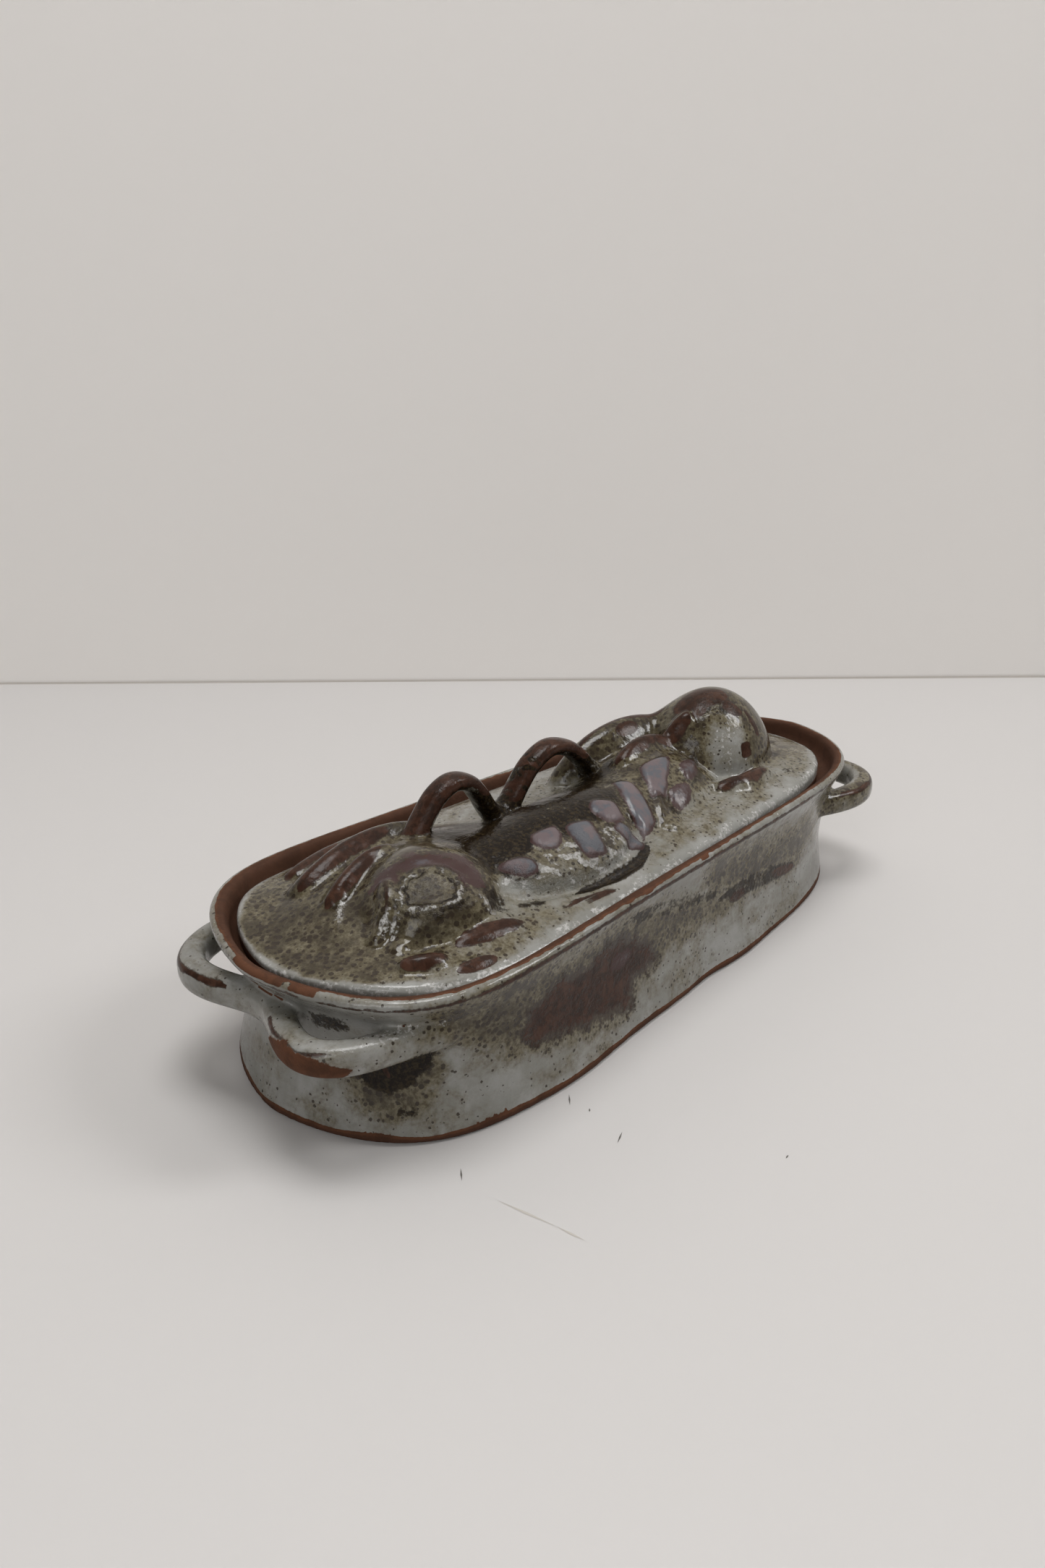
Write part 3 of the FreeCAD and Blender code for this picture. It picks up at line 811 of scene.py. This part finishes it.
# Ridges drawn with the finger: the line they follow, half width and height. The last three are
# thin drips.
hare_ridges = [
    (((-163.0, 32.0), (-147.0, 33.0), (-128.0, 36.0), (-106.0, 38.0), (-84.0, 32.0)), 11.0, 9.0),
    (((-150.0, 52.0), (-125.0, 56.0), (-98.0, 57.0), (-74.0, 50.0)), 10.0, 7.0),
    (((-162.0, 5.0), (-148.0, 9.0), (-134.0, 13.0), (-118.0, 12.0)), 8.0, 7.0),
    (((-163.0, -28.0), (-150.0, -22.0), (-144.0, -12.0)), 6.0, 4.5),
    (((-161.0, -36.0), (-146.0, -38.0), (-128.0, -44.0), (-103.0, -50.0)), 8.0, 4.0),
    (((-165.0, -47.0), (-155.0, -53.0), (-146.0, -56.0)), 6.5, 4.5),
    (((-137.0, -50.0), (-121.0, -54.0), (-103.0, -57.0)), 5.0, 2.5),
    (((-147.0, -62.0), (-127.0, -66.0)), 4.0, 1.5),
    (((31.0, 2.0), (50.0, 4.0), (70.0, 4.0), (90.0, -4.0)), 9.0, 8.0),
    (((72.0, -35.0), (90.0, -41.0), (119.0, -40.0)), 8.0, 6.5),
    (((30.0, -28.0), (24.0, -36.0), (15.0, -47.0)), 5.0, 3.5),
    (((34.0, -36.0), (27.0, -42.0), (18.0, -51.0)), 5.0, 3.0),
    (((-148.0, -20.0), (-153.0, -26.0), (-163.0, -29.0)), 2.4, 0.8),
    (((-145.0, -24.0), (-150.0, -29.0), (-157.0, -33.0)), 2.0, 0.6),
    (((-154.0, 3.0), (-160.0, -2.0), (-167.0, -7.0)), 2.4, 0.9),
]
# Grooves: a crease over the hind leg and the undercut below the flap of the belly.
hare_grooves = [
    (((-157.0, -41.5), (-145.0, -43.7), (-132.0, -49.0)), 3.0, 1.8),
    (((-95.0, -44.0), (-80.0, -49.0), (-61.0, -54.5), (-41.0, -57.0), (-22.0, -56.0), (-6.0, -51.0)), 4.5, 2.6),
    (((-4.0, -32.0), (0.0, -40.0), (-6.0, -48.0)), 2.5, 1.6),
    (((84.0, -31.0), (98.0, -34.0), (112.0, -38.0)), 3.0, 1.5),
]
# Flat pads of clay pressed along the flank, each by its corners.
flank_pads = [
    ((-89.0, -28.0), (-78.0, -31.0), (-74.0, -37.0), (-77.0, -42.0), (-85.0, -39.0)),
    ((-65.0, -25.0), (-48.0, -26.0), (-51.0, -34.0), (-60.0, -38.0), (-67.0, -33.0)),
    ((-44.0, -29.0), (-29.0, -32.0), (-37.0, -50.0), (-50.0, -49.0)),
    ((-16.0, -21.0), (-4.0, -26.0), (-8.0, -37.0), (-20.0, -36.0), (-23.0, -27.0)),
    ((-13.0, -37.0), (-5.0, -46.0), (-8.0, -50.0), (-17.0, -49.0), (-20.0, -41.0)),
    ((13.0, -11.0), (22.0, -16.0), (13.0, -40.0), (-3.0, -46.0), (4.0, -26.0)),
    ((36.0, -10.0), (47.0, -10.0), (60.0, -12.0), (33.0, -31.0), (24.0, -29.0)),
    ((38.0, -28.0), (57.0, -30.0), (46.0, -39.0), (30.0, -40.0)),
    ((57.0, -19.0), (79.0, -15.0), (68.0, -27.0), (54.0, -30.0)),
]
pad_thickness = 2.3
faint_pads = (7, 8)
vent_place = (-62.0, 42.0)
vent_radius = 2.4


def ridge(x, y, line, half_width, height):
    """Height of a drawn ridge that thins out at both ends."""
    distance, along = to_line(x, y, line)
    thin = np.clip(4.0 * along * (1.0 - along), 0.0, 1.0) ** 0.35
    across = distance / (half_width * (0.55 + 0.45 * thin))
    return height * thin * np.maximum(0.0, 1.0 - across ** 2) ** 1.6


def inside_pad(x, y, corners):
    """How far inside a pad's rounded outline a point lies; negative outside."""
    total = np.zeros_like(x)
    for (ax, ay), (bx, by) in zip(corners, corners[1:] + corners[:1]):
        size = math.hypot(bx - ax, by - ay)
        depth = ((y - ay) * (ax - bx) - (x - ax) * (ay - by)) / size
        total += np.exp(-np.clip(depth, -40.0, 40.0) / 1.5)
    return 0.4 - 1.5 * np.log(total)


def scar(x, y):
    """Distance from the middle of the scar on the haunch; 1 on its crusted ring."""
    u, v = along_across(x, y, -133.5, -32.5, -25.0)
    return np.hypot(u / 13.5, v / 9.5)


def hare(x, y):
    """How far the hare stands above the plate."""
    total = np.zeros_like(x)
    for mass in hare_masses:
        total += mound(x, y, *mass) ** 4.0
    total = total ** 0.25
    for line, half_width, height in hare_ridges:
        total = total + ridge(x, y, line, half_width, height)
    for line, half_width, depth in hare_grooves:
        total = total - ridge(x, y, line, half_width, depth)
    ring = scar(x, y) + 0.07 * soft_noise(x, y, x, 9.0, 21)
    crust = 0.8 + 0.5 * soft_noise(x, y, x, 5.0, 22)
    return total + crust * hump(ring, 1.0, 0.13) - np.clip(1.0 - ring, 0.0, 0.5)


def lid_height(x, y):
    pads = np.zeros_like(x)
    for pad in flank_pads:
        pads = np.maximum(pads, pad_thickness * ramp(inside_pad(x, y, pad), -1.6, 3.0))
    return lid_plate(x, y) + hare(x, y) + pads


def lid_half_width(x):
    along = np.clip((2.0 * x - lid_left - lid_right) / (lid_right - lid_left), -1.0, 1.0)
    return egg_width(along, lid_half_breadth, rim_fullness, rim_corner)


# The slab is a grid of places, closer together towards its ends, with a top and an underside.
half = (lid_right - lid_left) / 2.0
even = np.linspace(-1.0, 1.0, 420)
stations = (lid_left + lid_right) / 2.0 + half * (0.55 * np.sin(even * math.pi / 2.0) + 0.45 * even)
stations = np.clip(stations, lid_left + 0.1, lid_right - 0.1)
places = np.linspace(-1.0, 1.0, 160)
grid_x = np.repeat(stations[:, None], len(places), axis=1)
grid_y = lid_half_width(stations)[:, None] * places[None, :]
edge_drop = np.clip(1.0 - (1.0 - np.abs(places)) * 67.0 / 3.5, 0.0, 1.0)[None, :] ** 2
top = lid_height(grid_x, grid_y) - 2.0 * edge_drop
hollow = np.maximum(0.0, 1.0 - ((grid_x + 15.0) / 150.0) ** 2 - ((grid_y + 12.0) / 36.0) ** 2) ** 0.5
under = ledge_height + 19.0 * hollow
lid_points = np.vstack([
    np.stack([grid_x, grid_y, top], axis=2).reshape(-1, 3),
    np.stack([grid_x, grid_y, under], axis=2).reshape(-1, 3)])
rows = len(stations)
cols = len(places)
vent = np.hypot(grid_x - vent_place[0], grid_y - vent_place[1]) < vent_radius
vent = vent[:-1, :-1] & vent[1:, :-1] & vent[:-1, 1:] & vent[1:, 1:]
lid_faces = []
low = rows * cols
for i in range(rows - 1):
    for j in range(cols - 1):
        a = i * cols + j
        if not vent[i, j]:
            lid_faces.append((a, a + cols, a + cols + 1, a + 1))
            lid_faces.append((low + a, low + a + 1, low + a + cols + 1, low + a + cols))
            continue
        sides = [(vent[i, j - 1], a, a + cols), (vent[i + 1, j], a + cols, a + cols + 1),
                 (vent[i, j + 1], a + cols + 1, a + 1), (vent[i - 1, j], a + 1, a)]
        for is_open, b, c in sides:
            if not is_open:
                lid_faces.append((b, c, low + c, low + b))
    for j in (0, cols - 1):
        a = i * cols + j
        lid_faces.append((a, low + a, low + a + cols, a + cols))
for i in (0, rows - 1):
    for j in range(cols - 1):
        a = i * cols + j
        lid_faces.append((a, a + 1, low + a + 1, low + a))

# Lid grip
# One strap of clay bent into two round arches for the fingers and pressed down on the hare's
# back at its ends and in the middle.
grip_side = 20.0
grip_half_thickness = 4.6
grip_half_width = 6.6
arch_middles = (-73.0, -3.0)
arch_middle_height = 92.0
bend = [
    (-108.0, 83.0), (-102.0, 87.0), (-97.0, 93.5), (-91.0, 101.5), (-83.5, 109.0), (-73.0, 112.9), (-62.5, 109.5),
    (-55.5, 101.5), (-50.0, 92.5), (-44.0, 85.8), (-39.0, 85.6), (-33.0, 90.0), (-26.0, 98.5), (-17.0, 107.0),
    (-4.0, 112.0), (9.0, 108.8), (18.5, 102.0), (26.0, 94.0), (32.0, 88.5), (37.0, 85.0),
]
bend_line = smooth_steps(bend, 8)
grip_path = np.stack([bend_line[:, 0], np.full(len(bend_line), grip_side), bend_line[:, 1]], axis=1)
pressed = sum(hump(bend_line[:, 0], foot, width) for foot, width in ((-41.5, 7.0), (-106.0, 9.0), (38.0, 9.0)))
grip = bent_strap(grip_path, (0.0, 1.0, 0.0), grip_half_thickness + 1.2 * pressed,
                  grip_half_width + pressed, 28, 0.85)

lid = lute("lid_hare", [(lid_points, lid_faces), grip], 1.02, 2)

# Finishes of the lid, by outlines and lines in plan.
haunch_cap = [(-149, -8), (-143, -5), (-132, -5), (-122, -8), (-114, -15), (-106, -23), (-103, -32), (-107, -40),
              (-120, -39), (-126, -30), (-135, -21), (-142, -21), (-150, -22)]
dark_back = [(-103, -8), (-98, -30), (-92, -35), (-72, -38), (-52, -40), (-30, -34), (-18, -40), (-4, -30), (10, -12),
             (34, 0), (38, 14), (10, 27), (-20, 28), (-60, 24), (-96, 16)]
belly_flap = [(-102, -37), (-92, -31), (-70, -35), (-50, -36), (-24, -37), (-1, -42), (-5, -50), (-22, -54),
              (-45, -54), (-62, -52), (-86, -43)]
cheek = [(84, -16), (96, -13), (112, -23), (110, -34), (96, -33), (84, -27)]
forepaw = [(72, -37), (90, -30), (108, -33), (111, -43), (97, -46), (74, -41)]
brown_lines = [
    (((-161.0, 28.0), (-150.0, 30.0), (-139.0, 31.0), (-124.0, 32.0), (-104.0, 33.0)), 5.0, 0.95),
    (((-152.0, 52.0), (-136.0, 54.0), (-118.0, 56.0)), 4.5, 0.75),
    (((-163.0, 5.0), (-157.0, 5.0), (-150.0, 7.0), (-138.0, 9.0), (-126.0, 12.0)), 4.2, 0.9),
    (((-165.0, -48.0), (-156.0, -53.0), (-145.0, -54.5)), 4.4, 1.0),
    (((-138.0, -52.0), (-122.0, -54.5), (-102.0, -57.0)), 3.6, 0.95),
    (((-148.0, -64.0), (-128.0, -67.0)), 2.6, 0.9),
    (((-76.0, -59.0), (-60.0, -63.0), (-44.0, -64.0)), 2.0, 0.75),
    (((31.0, 2.0), (46.0, 2.0), (62.0, 4.0), (76.0, 0.0), (88.0, -5.0)), 5.0, 1.0),
    (((34.0, 32.0), (47.0, 34.0), (64.0, 32.0), (80.0, 27.0), (96.0, 19.0)), 3.6, 0.8),
]
dark_spots = [
    (165.0, -11.0, 7.0, 4.5, 30.0, 0.7), (129.0, -45.0, 4.5, 3.0, 0.0, 0.7), (145.0, -26.0, 5.0, 3.5, 0.0, 0.7),
    (-88.0, -50.0, 9.0, 4.0, -20.0, 0.6), (-106.0, -44.0, 8.0, 6.0, 30.0, 0.6), (104.0, -10.0, 13.0, 7.0, -30.0, 0.8),
]
brown_spots = [
    (109.0, -29.8, 3.8, 3.8, 0.0), (103.0, 0.0, 17.0, 9.0, -30.0), (94.0, -6.0, 5.0, 2.6, -20.0),
    (112.0, -16.5, 6.5, 4.0, -45.0), (122.5, -24.0, 2.2, 7.0, 20.0), (64.0, 22.0, 8.0, 3.5, -8.0),
]


def lid_masks(piece):
    """Where each finish lies on the lid and the hare."""
    places, normals = clay_points(piece)
    x, y, z = places.T
    edge = sharpness(piece, 14)
    body = hare(x, y)
    bumpy = soft_noise(x, y, z, 15.0, 8)
    uneven = soft_noise(x, y, z, 42.0, 9)
    small = soft_noise(x, y, z, 6.0, 10)
    above = z > lid_height(x, y) + 1.2
    strap = ((np.abs(y - grip_side) < 10.5) & (x > -110.0) & (x < 44.0) & above).astype(float)
    skin = 1.0 - strap
    to_edge = np.minimum(np.minimum(lid_half_width(x) - np.abs(y), x - lid_left), lid_right - x)
    pads = np.zeros(len(x))
    rims = np.zeros(len(x))
    for number, pad in enumerate(flank_pads):
        depth = inside_pad(x, y, pad) + 0.35 * bumpy + 0.25 * small
        height = 0.55 if number in faint_pads else 1.0
        pads = np.maximum(pads, height * ramp(depth, -2.6, 3.2))
        rims = np.maximum(rims, ramp(depth, -3.6, -0.6))
    ring = scar(x, y) + 0.10 * small + 0.05 * bumpy
    on_ring = hump(ring, 1.0, 0.10)
    in_ring = 1.0 - ramp(ring, 0.86, 1.0)
    cap = stain(x, y, haunch_cap, 9.0) * (1.0 - in_ring) * ramp(ring, 1.05, 1.2)
    flap = stain(x, y, belly_flap, 7.0)
    back = stain(x, y, dark_back, 22.0)
    violet = np.maximum.reduce([pads, cap * (0.39 + 0.16 * bumpy + 0.10 * small)]) * skin
    paint(piece, "violet", violet)

    crests = np.zeros(len(x))
    for line, half_width, strength in brown_lines:
        crests = np.maximum(crests, strength * stroke(x, y, line, half_width + 0.5 * small, 0.45))
    for at_x, at_y, half_u, half_v, tilt in brown_spots:
        at_z = float(lid_height(np.array([at_x]), np.array([at_y]))[0])
        near = 1.0 - ramp(np.abs(z - at_z) / half_v, 0.6, 1.5)
        crests = np.maximum(crests, near * patch(x + 0.5 * small, y, at_x, at_y, half_u, half_v, tilt, 0.4))
    crests = np.maximum(crests, stain(x, y, forepaw, 4.0))
    up = z - arch_middle_height
    first, second = (np.hypot(x - middle, up) for middle in arch_middles)
    middle_x = np.where(first < second, *arch_middles)
    inner = (normals[:, 0] * (x - middle_x) + normals[:, 2] * up) < -4.0
    leg = np.where((x > -60.0) & (x < -41.0) | (x > 14.0), 99.0, 89.0)
    grip_brown = strap * ramp(z + 2.0 * bumpy, leg, leg + 6.0) * (1.0 - 0.7 * inner)
    near_leg = (x > -46.0) * (1.0 - ramp(x, -20.0, -12.0))
    grip_brown = grip_brown * (1.0 - near_leg * ramp(0.9 * bumpy + small, -0.6, 0.9))
    paint(piece, "iron", np.maximum.reduce([
        grip_brown, crests * skin,
        0.62 * ramp(edge, 0.20, 0.45) * skin * ramp(body, 3.0, 7.0) * (1.0 - flap),
        0.55 * stain(x, y, haunch_cap, 16.0) * (1.0 - in_ring)]))
    # Painted shadow: a dark stroke along the belly flap's lower edge deepens the shade of its undercut.
    flap_shadow = stroke(x, y, [(-66.0, -55.5), (-42.0, -58.0), (-22.0, -57.0), (-5.0, -50.0)], 4.0, 0.5)
    folds = ramp(-edge, 0.22, 0.60) * ramp(body, 2.0, 6.0)
    spots = np.maximum.reduce([patch(x, y, *spot) for spot in dark_spots])
    ring_dark = 0.75 * hump(ring, 0.84, 0.07) + 0.5 * hump(ring, 1.2, 0.1)
    deep = np.maximum.reduce([
        (0.52 + 0.2 * bumpy) * rims * (1.0 - pads), 0.80 * back * (1.0 - flap) + 0.22 * back * bumpy,
        0.85 * flap_shadow, 0.7 * folds, 0.6 * spots, ring_dark, 0.5 * strap * ((x > -36.0) & (x < -12.0)),
        0.6 * inner * strap * ramp(small, 0.2, 0.9)])
    paint(piece, "deep", deep * (1.0 - 0.8 * on_ring))
    left_cloud = patch(x, y, -156.0, 2.0, 48.0, 66.0, 0.0, 0.4)
    right_cloud = patch(x, y, 150.0, -14.0, 34.0, 28.0, 0.0, 0.6)
    face = stain(x, y, cheek, 12.0)
    olive = np.maximum.reduce([
        0.50 + 0.72 * ramp(body, 1.5, 9.0) + 0.22 * uneven, 1.12 * left_cloud + 0.15 * uneven,
        1.15 * right_cloud, 1.1 * back])
    olive = olive * ramp(to_edge + 2.0 * bumpy, 0.5, 8.0) * (1.0 - 0.25 * flap) * (1.0 - 0.75 * face)
    paint(piece, "olive", np.where(strap > 0.5, 0.6, olive))
    pale_right = patch(x, y, -112.0, -46.0, 7.0, 4.0, -20.0, 0.7)
    drips = np.maximum.reduce([stroke(x, y, line, 2.2, 0.6) for line, _, _ in hare_ridges[-3:]])
    # The white on the belly flap and on the haunch's ring is partly their pale crust and partly painted glints of
    # light on it.
    glints = np.maximum(0.0, flap * (0.50 + 0.40 * small + 0.25 * bumpy))
    paint(piece, "milk", np.maximum.reduce([
        (0.52 + 0.12 * small) * hump(ring, 1.0, 0.13), 0.44 * drips, glints, 0.5 * pale_right, 0.42 * face,
        0.45 * (1.0 - ramp(to_edge + 1.5 * bumpy, 2.0, 6.0)) * skin, 0.5 * inner * strap]))
    paint(piece, "bare", (z < 70.5) * (1.0 - ramp(to_edge, 8.0, 10.0)))
    paint(piece, "crumbs", np.maximum.reduce([flap, hump(ring, 1.0, 0.25), 0.35 * in_ring]))


lid_masks(lid)
shift_to_middle(lid)
lid.data.materials.append(glaze_material("ash glaze on the lid"))
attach(lid, "root")
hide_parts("lid")
